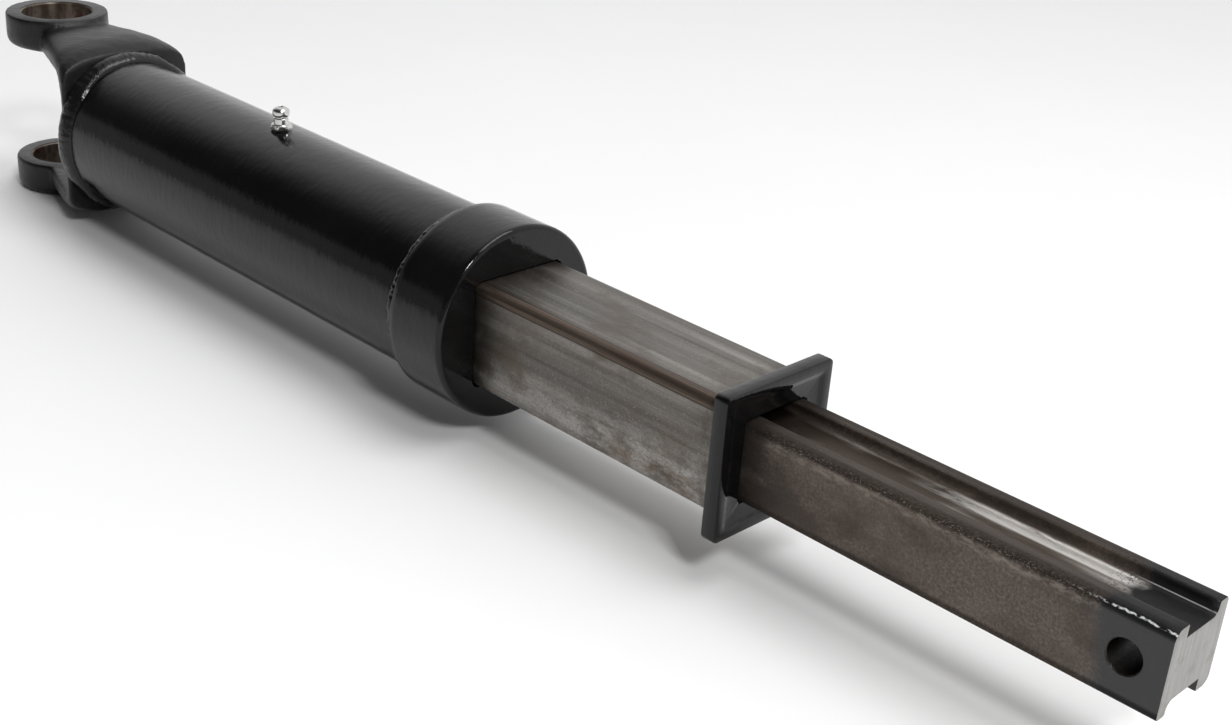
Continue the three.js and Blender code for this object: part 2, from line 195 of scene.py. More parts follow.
def curve(knots, x):
    if x <= knots[0][0]:
        return knots[0][1]
    for i in range(1, len(knots)):
        if x <= knots[i][0]:
            x0, v0 = knots[i - 1]
            x1, v1 = knots[i]
            p = knots[i - 2] if i >= 2 else knots[i - 1]
            q = knots[i + 1] if i + 1 < len(knots) else knots[i]
            m0 = (v1 - p[1]) / (x1 - p[0])
            m1 = (q[1] - v0) / (q[0] - x0)
            t = (x - x0) / (x1 - x0)
            h = x1 - x0
            return ((2 * t ** 3 - 3 * t ** 2 + 1) * v0 + (t ** 3 - 2 * t ** 2 + t) * h * m0
                    + (-2 * t ** 3 + 3 * t ** 2) * v1 + (t ** 3 - t ** 2) * h * m1)
    return knots[-1][1]


# ------------------------------------------------------------ material helper
class Mat:
    def __init__(self, name):
        self.m = bpy.data.materials.new(name)
        self.m.use_nodes = True
        nt = self.m.node_tree
        nt.nodes.clear()
        self.nt = nt
        self.out = nt.nodes.new("ShaderNodeOutputMaterial")
        self.b = nt.nodes.new("ShaderNodeBsdfPrincipled")
        nt.links.new(self.b.outputs[0], self.out.inputs[0])
        self.tc = nt.nodes.new("ShaderNodeTexCoord").outputs["Object"]

    def n(self, kind, **kw):
        node = self.nt.nodes.new(kind)
        for k, v in kw.items():
            setattr(node, k, v)
        return node

    def link(self, a, b):
        self.nt.links.new(a, b)
        return b

    def mapping(self, scale=(1, 1, 1), loc=(0, 0, 0), rot=(0, 0, 0)):
        mp = self.n("ShaderNodeMapping")
        self.link(self.tc, mp.inputs[0])
        mp.inputs["Scale"].default_value = scale
        mp.inputs["Location"].default_value = loc
        mp.inputs["Rotation"].default_value = rot
        return mp.outputs[0]

    def noise(self, scale, vec=None, detail=4, rough=0.55, distortion=0.0):
        t = self.n("ShaderNodeTexNoise")
        self.link(vec if vec is not None else self.tc, t.inputs["Vector"])
        t.inputs["Scale"].default_value = scale
        t.inputs["Detail"].default_value = detail
        t.inputs["Roughness"].default_value = rough
        t.inputs["Distortion"].default_value = distortion
        return t.outputs["Fac"]

    def voronoi(self, scale, vec=None, feature="F1"):
        t = self.n("ShaderNodeTexVoronoi")
        t.feature = feature
        self.link(vec if vec is not None else self.tc, t.inputs["Vector"])
        t.inputs["Scale"].default_value = scale
        return t.outputs["Distance"]

    def ramp(self, fac, stops, interp="LINEAR"):
        r = self.n("ShaderNodeValToRGB")
        self.link(fac, r.inputs[0])
        cr = r.color_ramp
        cr.interpolation = interp
        while len(cr.elements) < len(stops):
            cr.elements.new(0.5)
        for e, (p, c) in zip(cr.elements, stops):
            e.position = p
            e.color = (c, c, c, 1) if isinstance(c, (int, float)) else (*c, 1)
        return r.outputs[0]

    def mix(self, fac, a, b, mode="MIX"):
        x = self.n("ShaderNodeMix", data_type="RGBA", blend_type=mode)
        for sock, v in ((x.inputs[0], fac), (x.inputs[6], a), (x.inputs[7], b)):
            if isinstance(v, (int, float)):
                sock.default_value = v if sock == x.inputs[0] else (v, v, v, 1)
            elif isinstance(v, tuple):
                sock.default_value = (*v, 1)
            else:
                self.link(v, sock)
        return x.outputs[2]

    def math(self, op, a, b=0.0, c=0.0, clamp=False):
        x = self.n("ShaderNodeMath", operation=op, use_clamp=clamp)
        for sock, v in zip(x.inputs, (a, b, c)):
            if isinstance(v, (int, float)):
                sock.default_value = v
            else:
                self.link(v, sock)
        return x.outputs[0]

    def xyz(self, vec=None):
        s = self.n("ShaderNodeSeparateXYZ")
        self.link(vec if vec is not None else self.tc, s.inputs[0])
        return s.outputs[0], s.outputs[1], s.outputs[2]

    def smooth(self, v, lo, hi, a=0.0, b=1.0):
        x = self.n("ShaderNodeMapRange", interpolation_type="SMOOTHSTEP")
        self.link(v, x.inputs[0])
        for i, w in zip((1, 2, 3, 4), (lo, hi, a, b)):
            x.inputs[i].default_value = w
        return x.outputs[0]

    def bump(self, height, strength, dist, normal=None):
        x = self.n("ShaderNodeBump")
        self.link(height, x.inputs["Height"])
        x.inputs["Strength"].default_value = strength
        x.inputs["Distance"].default_value = dist
        if normal is not None:
            self.link(normal, x.inputs["Normal"])
        return x.outputs[0]

    def set(self, **kw):
        for k, v in kw.items():
            s = self.b.inputs[k.replace("_", " ")]
            if isinstance(v, (int, float)):
                s.default_value = v
            elif isinstance(v, tuple):
                s.default_value = (*v, 1) if len(v) == 3 else v
            else:
                self.link(v, s)
        return self


def paint_it(ob, mat):
    ob.data.materials.clear()
    ob.data.materials.append(mat.m if isinstance(mat, Mat) else mat)


# ------------------------------------------------------------------ materials
def gloss_paint():
    """Gloss black paint over steel: orange peel, fine drag marks across, a little dust."""
    m = Mat("gloss_black_paint")
    big = m.noise(28, detail=3)
    peel = m.noise(330, detail=3, rough=0.55)
    across = m.noise(520, m.mapping((1, 0.28, 0.28)), detail=4, rough=0.65)
    along = m.noise(300, m.mapping((0.05, 1, 1)), detail=3)
    dust = m.noise(2600, detail=2)
    smear = m.noise(60, m.mapping((0.25, 1, 1)), detail=5, rough=0.6)
    col = m.mix(m.smooth(big, 0.35, 0.7), (0.0022, 0.0023, 0.0026), (0.0040, 0.0040, 0.0043))
    col = m.mix(m.math("MULTIPLY", m.smooth(dust, 0.60, 0.72), m.smooth(smear, 0.45, 0.75)), col, (0.030, 0.029, 0.028))
    rough = m.math("ADD", m.math("MULTIPLY", smear, 0.10), 0.045)
    n = m.bump(across, 0.40, 0.00028)
    n = m.bump(peel, 0.16, 0.00035, n)
    n = m.bump(along, 0.06, 0.0002, n)
    n = m.bump(m.noise(70, detail=2), 0.14, 0.0012, n)
    m.set(Base_Color=col, Roughness=rough, Normal=n, IOR=1.37)
    return m


def weld_paint():
    """The same paint over a weld: spatter and fine ripples under the gloss."""
    m = Mat("painted_weld")
    a = m.noise(260, detail=4, rough=0.6)
    b = m.noise(900, detail=2)
    col = m.mix(a, (0.003, 0.003, 0.0032), (0.009, 0.0088, 0.0085))
    n = m.bump(a, 0.35, 0.0009)
    n = m.bump(b, 0.18, 0.0003, n)
    m.set(Base_Color=col, Roughness=m.math("ADD", m.math("MULTIPLY", b, 0.18), 0.09), Normal=n, IOR=1.42)
    return m


def forged_paint():
    """Thin satin black over a forging, bare machined steel inside the bores."""
    m = Mat("forged_black")
    x, y, z = m.xyz()
    scale = m.noise(300, detail=6, rough=0.7)
    big = m.noise(45, detail=4)
    pits = m.voronoi(520)
    col = m.mix(big, (0.0048, 0.0050, 0.0052), (0.0092, 0.0094, 0.0092))
    col = m.mix(m.smooth(scale, 0.52, 0.75), col, (0.016, 0.016, 0.0155))
    n = m.bump(scale, 0.30, 0.0009)
    n = m.bump(m.smooth(pits, 0.0, 0.35), 0.10, 0.0004, n)
    # bore: close to the vertical axis through the joint centre
    rr = m.math("SQRT", m.math("ADD", m.math("MULTIPLY", x, x), m.math("MULTIPLY", y, y)))
    bore = m.smooth(rr, 0.01535, 0.01565, 1.0, 0.0)
    streak = m.noise(150, m.mapping((1, 1, 0.35)), detail=5, rough=0.65)
    rings = m.noise(900, m.mapping((0.15, 0.15, 1)), detail=2)
    steel = m.ramp(streak, [(0.28, (0.05, 0.036, 0.028)), (0.46, (0.11, 0.082, 0.064)), (0.58, (0.19, 0.155, 0.125)), (0.70, (0.30, 0.255, 0.21)), (0.80, (0.12, 0.075, 0.052))])
    steel = m.mix(m.smooth(m.noise(120, detail=3), 0.55, 0.72), steel, (0.075, 0.028, 0.018))
    col = m.mix(bore, col, steel)
    metal = m.math("MULTIPLY", bore, 0.85)
    rough = m.mix(bore, m.math("ADD", m.math("MULTIPLY", scale, 0.25), 0.24), m.math("ADD", m.math("MULTIPLY", rings, 0.2), 0.28))
    m.set(Base_Color=col, Roughness=rough, Metallic=metal, Normal=n, IOR=1.37)
    return m


def drawn_steel():
    """Bare cold-drawn square tube: long drawing streaks, brown corner bands, oil and rust."""
    m = Mat("drawn_steel")
    x, y, z = m.xyz()
    fine = m.noise(1500, m.mapping((0.012, 1, 1)), detail=4, rough=0.7)
    wide = m.noise(240, m.mapping((0.022, 1, 1)), detail=5, rough=0.65)
    broad = m.noise(75, m.mapping((0.10, 1, 1), (0.7, 0, 0)), detail=4, rough=0.6)
    blotch = m.noise(46, m.mapping((0.7, 1, 1)), detail=6, rough=0.68)
    grit = m.noise(1500, detail=4, rough=0.75)
    base = m.ramp(wide, [(0.30, (0.090, 0.080, 0.070)), (0.44, (0.165, 0.152, 0.136)), (0.56, (0.215, 0.202, 0.184)), (0.70, (0.36, 0.345, 0.32))])
    base = m.mix(0.40, base, m.ramp(fine, [(0.3, 0.45), (0.55, 0.75), (0.75, 1.0)]), "MULTIPLY")
    base = m.mix(0.85, base, m.ramp(broad, [(0.30, 0.60), (0.5, 0.95), (0.7, 1.35)]), "MULTIPLY")
    # the lower half of the side is rubbed brighter
    pale = m.math("MULTIPLY", m.smooth(z, 0.002, -0.011), m.smooth(m.noise(130, m.mapping((0.4, 1, 1), (0.1, 0, 0)), detail=6, rough=0.7), 0.36, 0.58))
    pale = m.math("MULTIPLY", pale, m.smooth(x, 0.325, 0.385, 0.35, 0.85))
    base = m.mix(pale, base, m.ramp(grit, [(0.3, (0.23, 0.218, 0.20)), (0.7, (0.50, 0.485, 0.46))]))
    base = m.mix(m.smooth(grit, 0.56, 0.76), base, (0.33, 0.315, 0.29))
    base = m.mix(m.math("MULTIPLY", m.smooth(grit, 0.44, 0.30), 0.6), base, (0.055, 0.045, 0.037))
    base = m.mix(m.math("MULTIPLY", m.smooth(blotch, 0.50, 0.66), 0.8), base, (0.105, 0.085, 0.067))
    # brown bands along the corners, with a thin dark line on each side
    ay, az = m.math("ABSOLUTE", y), m.math("ABSOLUTE", z)
    lo = m.math("MINIMUM", ay, az)
    wob = m.math("MULTIPLY", m.math("SUBTRACT", m.noise(60, m.mapping((0.25, 1, 1)), detail=3), 0.5), 0.0014)
    edge = m.math("ADD", lo, wob)
    band = m.smooth(edge, 0.01545, 0.01575)
    # strongest on two opposite corners, faint on the other two
    side = m.smooth(m.math("MULTIPLY", y, m.math("SIGN", z)), -0.002, 0.002, 1.0, 0.22)
    band = m.math("MULTIPLY", band, side)
    brown = m.ramp(fine, [(0.3, (0.060, 0.040, 0.029)), (0.55, (0.110, 0.078, 0.058)), (0.75, (0.175, 0.132, 0.103))])
    base = m.mix(m.math("MULTIPLY", band, 0.9), base, brown)
    line = m.math("MULTIPLY", m.smooth(edge, 0.01500, 0.01545), m.smooth(edge, 0.01600, 0.01565))
    base = m.mix(m.math("MULTIPLY", m.math("MULTIPLY", line, side), 0.8), base, (0.030, 0.021, 0.016))
    # dark, oily zone next to the collar and rust toward the plate
    near = m.smooth(x, 0.3120, 0.3240, 1.0, 0.0)
    near = m.math("MULTIPLY", near, m.smooth(m.noise(90, detail=4), 0.30, 0.55))
    near = m.math("MULTIPLY", near, m.smooth(x, 0.297, 0.310, 0.12, 1.0))
    base = m.mix(m.math("MULTIPLY", near, 0.85), base, (0.045, 0.035, 0.028))
    rust = m.math("MULTIPLY", m.smooth(x, 0.350, 0.402), m.smooth(m.noise(110, m.mapping((0.35, 1, 1), (0.3, 0, 0)), detail=6, rough=0.7), 0.50, 0.66))
    rust = m.math("MULTIPLY", rust, m.smooth(z, 0.010, -0.012, 0.10, 0.55))
    base = m.mix(rust, base, (0.125, 0.078, 0.045))
    oil = m.math("MULTIPLY", m.smooth(x, 0.410, 0.4225), m.smooth(m.noise(140, detail=4), 0.40, 0.6))
    base = m.mix(m.math("MULTIPLY", oil, 0.7), base, (0.050, 0.038, 0.028))
    rough = m.math("ADD", m.math("MULTIPLY", wide, 0.30), 0.27)
    n = m.bump(fine, 0.12, 0.0004)
    n = m.bump(wide, 0.10, 0.0006, n)
    n = m.bump(grit, 0.22, 0.00028, n)
    m.set(Base_Color=base, Roughness=rough, Metallic=0.82, Normal=n)
    return m


def bar_steel():
    """Rough bar: mottled brown-grey sides, machined groove floor, painted end, sawn face."""
    m = Mat("bar_steel")
    x, y, z = m.xyz()
    geo = m.n("ShaderNodeNewGeometry")
    nx, ny, nz = m.xyz(geo.outputs["Normal"])
    grit = m.noise(1900, detail=4, rough=0.75)
    speck = m.noise(1050, detail=6, rough=0.78)
    blotch = m.noise(42, m.mapping((0.55, 1, 1)), detail=5, rough=0.6)
    streak = m.noise(420, m.mapping((0.03, 1, 1)), detail=5, rough=0.6)
    side = m.ramp(speck, [(0.30, (0.050, 0.037, 0.030)), (0.48, (0.105, 0.082, 0.067)), (0.62, (0.165, 0.136, 0.115)), (0.80, (0.27, 0.235, 0.20))])
    side = m.mix(m.smooth(grit, 0.62, 0.80), side, (0.40, 0.36, 0.31))
    side = m.mix(m.math("MULTIPLY", m.smooth(m.noise(24, m.mapping((0.7, 1, 1), (0.2, 0.1, 0)), detail=6, rough=0.7), 0.44, 0.62), 0.55), side, m.ramp(grit, [(0.35, (0.110, 0.086, 0.066)), (0.65, (0.250, 0.208, 0.170))]))
    side = m.mix(m.math("MULTIPLY", m.smooth(blotch, 0.44, 0.64), 0.75), side, (0.044, 0.031, 0.024))
    # machined groove floors: between the walls, below the lands
    az = m.math("ABSOLUTE", z)
    ay = m.math("ABSOLUTE", y)
    floor = m.math("MULTIPLY", m.smooth(az, 0.01285, 0.01265), m.smooth(m.math("ABSOLUTE", nz), 0.6, 0.9))
    floor = m.math("MULTIPLY", floor, m.smooth(ay, 0.0094, 0.0088))
    # painted sheen: lighter and darker strips along the groove floor are painted into its colour, dark brown where this
    # noise is low
    groove_painted_sheen = m.noise(30, m.mapping((0.5, 2.2, 1)), detail=4, rough=0.55)
    fl = m.ramp(streak, [(0.25, (0.16, 0.14, 0.125)), (0.5, (0.30, 0.275, 0.25)), (0.75, (0.52, 0.49, 0.46))])
    fl = m.mix(m.smooth(groove_painted_sheen, 0.60, 0.42), fl, (0.075, 0.056, 0.043))
    # y counted from the upright wall toward the hollow one, on both faces
    turned = m.math("MULTIPLY", y, m.math("SIGN", z))
    # painted highlight: a bright streaky glint painted into the groove floor's colour, in a strip toward the hollow
    # wall
    groove_painted_glint = m.math("MULTIPLY", m.smooth(turned, 0.0022, 0.0036), m.smooth(turned, 0.0082, 0.0066))
    groove_painted_glint = m.math("MULTIPLY", groove_painted_glint, m.smooth(m.noise(260, m.mapping((0.22, 1, 1)), detail=6, rough=0.7), 0.34, 0.50))
    groove_painted_glint = m.math("MULTIPLY", groove_painted_glint, m.smooth(x, 0.470, 0.510))
    fl = m.mix(groove_painted_glint, fl, (0.86, 0.83, 0.79))
    col = m.mix(floor, side, fl)
    # lands on the top: darker, with brown
    land = m.math("MULTIPLY", m.smooth(az, 0.01315, 0.01335), m.smooth(m.math("ABSOLUTE", nz), 0.6, 0.9))
    col = m.mix(m.math("MULTIPLY", land, 0.8), col, m.ramp(streak, [(0.3, (0.030, 0.025, 0.022)), (0.7, (0.085, 0.074, 0.066))]))
    turn = m.math("MULTIPLY", m.smooth(az, 0.0104, 0.0118), m.smooth(ay, 0.0096, 0.0108))
    col = m.mix(m.math("MULTIPLY", turn, 0.85), col, m.ramp(speck, [(0.35, (0.022, 0.017, 0.014)), (0.65, (0.062, 0.050, 0.042))]))
    # small bright flecks along the rounded edges
    edge = m.math("MULTIPLY", m.math("MULTIPLY", m.smooth(az, 0.0106, 0.0114), m.smooth(az, 0.0131, 0.0123)), m.smooth(ay, 0.0116, 0.0124))
    rounded = m.smooth(turned, -0.002, -0.004)
    edge = m.math("MULTIPLY", edge, rounded)
    fleck = m.math("MULTIPLY", edge, m.smooth(m.noise(2400, m.mapping((0.6, 1, 1)), detail=3, rough=0.7), 0.55, 0.66))
    col = m.mix(m.math("MULTIPLY", fleck, 0.38), col, (0.60, 0.54, 0.47))
    fringe = m.math("MULTIPLY", m.math("MULTIPLY", m.smooth(az, 0.0078, 0.0096), m.smooth(az, 0.0118, 0.0106)), m.math("MULTIPLY", m.smooth(ay, 0.0118, 0.0126), rounded))
    fringe = m.math("MULTIPLY", fringe, m.smooth(m.noise(620, m.mapping((0.4, 1, 1)), detail=5, rough=0.7), 0.40, 0.66))
    col = m.mix(m.math("MULTIPLY", fringe, 0.65), col, (0.30, 0.262, 0.225))
    # dark, oily stretch by the plate
    near = m.math("MULTIPLY", m.smooth(x, 0.452, 0.430), m.smooth(m.noise(70, detail=4), 0.30, 0.55))
    near = m.math("MULTIPLY", near, m.smooth(x, 0.404, 0.424, 0.25, 1.0))
    col = m.mix(m.math("MULTIPLY", near, 0.85), col, (0.022, 0.017, 0.014))
    metal = m.mix(floor, 0.55, 0.9)
    rough = m.mix(floor, m.math("ADD", m.math("MULTIPLY", speck, 0.35), 0.38), m.math("ADD", m.math("MULTIPLY", streak, 0.22), 0.22))
    # painted end: boundary leans and fades into overspray
    lean = m.math("MULTIPLY", z, 0.10)
    wob = m.math("MULTIPLY", m.math("SUBTRACT", m.noise(110, detail=4), 0.5), 0.012)
    edge_x = m.math("ADD", m.math("ADD", x, lean), wob)
    painted = m.smooth(edge_x, 0.5455, 0.5520)
    spray = m.math("MULTIPLY", m.smooth(edge_x, 0.5360, 0.5500), m.smooth(m.noise(1300, detail=3), 0.50, 0.62))
    painted = m.math("MAXIMUM", painted, m.math("MULTIPLY", spray, 0.75))
    cut = m.math("MULTIPLY", m.smooth(nx, 0.80, 0.95), m.smooth(x, 0.5685, 0.5690))
    painted = m.math("MULTIPLY", painted, m.math("SUBTRACT", 1.0, cut))
    col = m.mix(painted, col, m.mix(m.noise(200, detail=3), (0.008, 0.008, 0.0085), (0.016, 0.016, 0.0165)))
    # painted highlights: short bright dashes along the painted edge and a thin bright line in the groove's corner,
    # painted into the colour as pale grey
    wave = m.math("MULTIPLY", m.math("SUBTRACT", m.noise(420, m.mapping((1, 0.1, 0.1)), detail=2), 0.5), 0.0012)
    da = m.math("ADD", az, wave)
    painted_glint_dash = m.math("MULTIPLY", m.math("MULTIPLY", m.smooth(da, 0.01205, 0.01225), m.smooth(da, 0.01265, 0.01245)), rounded)
    painted_glint_dash = m.math("MULTIPLY", painted_glint_dash, m.smooth(ay, 0.0105, 0.0112))
    painted_glint_dash = m.math("MULTIPLY", painted_glint_dash, m.smooth(m.noise(700, m.mapping((0.8, 1, 1)), detail=3), 0.44, 0.56))
    # painted highlight: the thin bright line in the groove's corner
    line = m.math("MULTIPLY", m.smooth(turned, 0.00805, 0.00815), m.smooth(turned, 0.00835, 0.00825))
    line = m.math("MULTIPLY", line, m.smooth(az, 0.0112, 0.0104))
    line = m.math("MULTIPLY", line, m.smooth(m.noise(180, m.mapping((0.4, 1, 1)), detail=2), 0.34, 0.46))
    col = m.mix(m.math("MULTIPLY", painted, m.math("MAXIMUM", painted_glint_dash, m.math("MULTIPLY", line, 0.6))), col, (0.66, 0.67, 0.68))
    # the cross hole's bore and countersink edge are coloured dark brown-black: partly the steel's own dark oxide,
    # partly painted shade inside the hole
    dx = m.math("SUBTRACT", x, HOLE_X * MM)
    hr = m.math("SQRT", m.math("ADD", m.math("MULTIPLY", dx, dx), m.math("MULTIPLY", z, z)))
    hole_oxide_and_shade = m.smooth(hr, 0.00545, 0.00515)
    col = m.mix(hole_oxide_and_shade, col, m.ramp(speck, [(0.4, (0.004, 0.003, 0.0025)), (0.75, (0.020, 0.013, 0.009))]))
    saw = m.noise(1200, m.mapping((1, 1, 0.05), rot=(0.5, 0, 0)), detail=3)
    face = m.ramp(saw, [(0.3, (0.27, 0.265, 0.258)), (0.7, (0.38, 0.372, 0.36))])
    face = m.mix(m.math("MULTIPLY", m.smooth(m.noise(160, detail=4), 0.52, 0.7), 0.5), face, (0.22, 0.195, 0.168))
    col = m.mix(cut, col, face)
    metal = m.mix(painted, metal, 0.0)
    metal = m.mix(hole_oxide_and_shade, metal, 0.0)
    metal = m.mix(cut, metal, 0.35)
    rough = m.mix(painted, rough, m.math("ADD", m.math("MULTIPLY", speck, 0.12), 0.14))
    rough = m.mix(cut, rough, 0.55)
    n = m.bump(speck, 0.30, 0.0006)
    n = m.bump(grit, 0.22, 0.0003, n)
    spec = m.mix(m.math("MAXIMUM", m.math("MULTIPLY", painted, m.smooth(nz, 0.6, 0.9)), m.math("MAXIMUM", turn, land)), 0.5, 0.10)
    m.set(Base_Color=col, Roughness=rough, Metallic=metal, Normal=n, IOR=1.5, Specular_IOR_Level=spec)
    return m


def zinc_plate():
    m = Mat("zinc_plate")
    a = m.noise(900, detail=4)
    b = m.noise(200, detail=3)
    col = m.mix(b, (0.50, 0.50, 0.48), (0.68, 0.68, 0.66))
    col = m.mix(m.smooth(a, 0.62, 0.75), col, (0.35, 0.31, 0.25))
    m.set(Base_Color=col, Roughness=m.math("ADD", m.math("MULTIPLY", a, 0.12), 0.05), Metallic=1.0, Normal=m.bump(a, 0.06, 0.0002))
    return m


def dark_steel():
    m = Mat("dark_steel")
    a = m.noise(500, detail=5, rough=0.65)
    b = m.noise(80, detail=3)
    col = m.mix(a, (0.06, 0.06, 0.062), (0.15, 0.148, 0.145))
    col = m.mix(m.smooth(b, 0.5, 0.7), col, (0.07, 0.05, 0.035))
    m.set(Base_Color=col, Roughness=m.math("ADD", m.math("MULTIPLY", a, 0.25), 0.3), Metallic=0.8, Normal=m.bump(a, 0.12, 0.0004))
    return m


def rubber():
    m = Mat("rubber_seal")
    a = m.noise(700, detail=4)
    col = m.mix(a, (0.008, 0.0075, 0.007), (0.020, 0.018, 0.015))
    m.set(Base_Color=col, Roughness=m.math("ADD", m.math("MULTIPLY", a, 0.2), 0.45), Normal=m.bump(a, 0.2, 0.0003))
    return m


M = {
    "gloss": gloss_paint(), "weld": weld_paint(), "forged": forged_paint(), "drawn": drawn_steel(),
    "bar": bar_steel(), "zinc": zinc_plate(), "dark": dark_steel(), "rubber": rubber(),
}


# ----------------------------------------------------------------------- yoke
ARM_W = [(0, 15), (8, 15.4), (14, 16.2), (22, 18.6), (32, 22), (40, 24.6), (48, 27.2), (54, 29.2), (57.5, 30)]
ARM_CROWN = [(0, 38.0), (20, 38.0), (34, 38.5), (44, 38.4), (50, 37.6), (54, 36.4), (57.5, 34.6)]
ARM_DROP = [(0, 3.4), (22, 3.6), (40, 5.2), (50, 6.2), (57.5, 6.6)]


def arm_mesh(name, sign):
    nx, nv = 60, 44
    xs = [2 + (57.5 - 2) * i / nx for i in range(nx + 1)]
    vs = [math.sin(math.pi / 2 * (-1 + 2 * j / nv)) for j in range(nv + 1)]
    verts, faces = [], []
    for side in range(2):
        for x in xs:
            w = curve(ARM_W, x)
            for v in vs:
                a = abs(v)
                if side == 0:
                    z = curve(ARM_CROWN, x) - curve(ARM_DROP, x) * (0.45 * a * a + 0.55 * a ** 6)
                    if a > 0.93:
                        z -= 2.4 * ((a - 0.93) / 0.07) ** 2
                else:
                    z = 26.2
                    if x > 44:
                        d = min(x - 44, 8.99)
                        z = 26.2 - (9 - math.sqrt(81 - d * d))
                    if x >= 53:
                        z = 12
                    if a > 0.9:
                        z += 1.6 * ((a - 0.9) / 0.1) ** 2
                verts.append((x, v * w, sign * z))
    n = nv + 1
    N = (nx + 1) * n
    for i in range(nx):
        for j in range(nv):
            for s in (0, 1):
                faces.append((s * N + i * n + j, s * N + (i + 1) * n + j, s * N + (i + 1) * n + j + 1, s * N + i * n + j + 1))
        for j in (0, nv):
            faces.append((i * n + j, (i + 1) * n + j, N + (i + 1) * n + j, N + i * n + j))
    for j in range(nv):
        for i in (0, nx):
            faces.append((i * n + j, i * n + j + 1, N + i * n + j + 1, N + i * n + j))
    return mesh_object(name, verts, faces)


def build_yoke():
    parts = []
    for s in (1, -1):
        parts.append(arm_mesh("arm", s))
        # the lower edge of each ring is well rounded, the upper one only broken
        a, b = (25.9, 40.6) if s > 0 else (-40.6, -25.9)
        prof = [(a, 17.6)] + [(a + 3.9 - 3.9 * math.cos(math.radians(t)), 18.1 + 3.9 * math.sin(math.radians(t))) for t in range(15, 91, 15)]
        prof += [(b - 1.0, 22.0), (b - 0.3, 21.7), (b, 21.0)]
        parts.append(cyl("ear", 22.0, a, b, "z", n=128, profile=prof))
    parts.append(cyl("hub", 32, 53, 57.5, "x", n=160, profile=[(53, 30.6), (53.4, 31.4), (54.4, 31.9), (57.5, 31.9)]))
    parts.append(cyl("pilot", 29, 57.0, 60, "x", n=128))
    me = bpy.data.meshes.new("yoke_detail")
    bm = bmesh.new()
    for p in parts:
        bm.from_mesh(p.data)
    bm.to_mesh(me)
    bm.free()
    for p in parts:
        d = p.data
        bpy.data.objects.remove(p)
        bpy.data.meshes.remove(d)
    ob = bpy.data.objects.new("yoke_detail", me)
    bpy.context.collection.objects.link(ob)
    r = ob.modifiers.new("r", "REMESH")
    r.mode = "VOXEL"
    r.voxel_size = 0.00085
    bpy.context.view_layer.update()
    apply_mods(ob)
    # soften the forging's inner corners, with a slight hammer-scale unevenness
    sm = ob.modifiers.new("s", "SMOOTH")
    sm.factor = 0.5
    sm.iterations = 9
    bpy.context.view_layer.update()
    apply_mods(ob)
    me = ob.data
    co = np.empty(len(me.vertices) * 3)
    me.vertices.foreach_get("co", co)
    co = co.reshape(-1, 3)
    no = np.empty(len(me.vertices) * 3)
    me.vertices.foreach_get("normal", no)
    no = no.reshape(-1, 3)
    for i in range(len(co)):
        p = Vector(co[i])
        k = noise.noise(p * 130) * 0.00016 + noise.noise(p * 420) * 0.00005
        co[i] += no[i] * k
    me.vertices.foreach_set("co", co.reshape(-1))
    me.update()
    # machined faces and bores
    for s in (1, -1):
        lo, hi = (40.2, 44) if s > 0 else (-44, -40.2)
        boolean(ob, cyl("c", 23.6, lo, hi, "z", n=96))
        lo, hi = (20, 26.2) if s > 0 else (-26.2, -20)
        boolean(ob, cyl("c", 21.2, lo, hi, "z", n=96))
        a, b = (26.2, 40.2) if s > 0 else (-40.2, -26.2)
        boolean(ob, cyl("c", 15.1, a, b, "z", n=128,
                        profile=[(a - 1, 16.8), (a, 15.8), (a + 0.7, 15.1), (b - 0.7, 15.1), (b, 15.8), (b + 1, 16.8)]))
    boolean(ob, cyl("c", 26.4, 59.6, 78, "x", n=96, profile=[(59.6, 26.0), (76.4, 26.4), (78, 25.0)]), "UNION")
    ob.data.name = "yoke_detail"
    shade(ob, 40)
    paint_it(ob, M["forged"])
    return ob


yoke = build_yoke()
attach(yoke, "outer")
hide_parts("yoke")


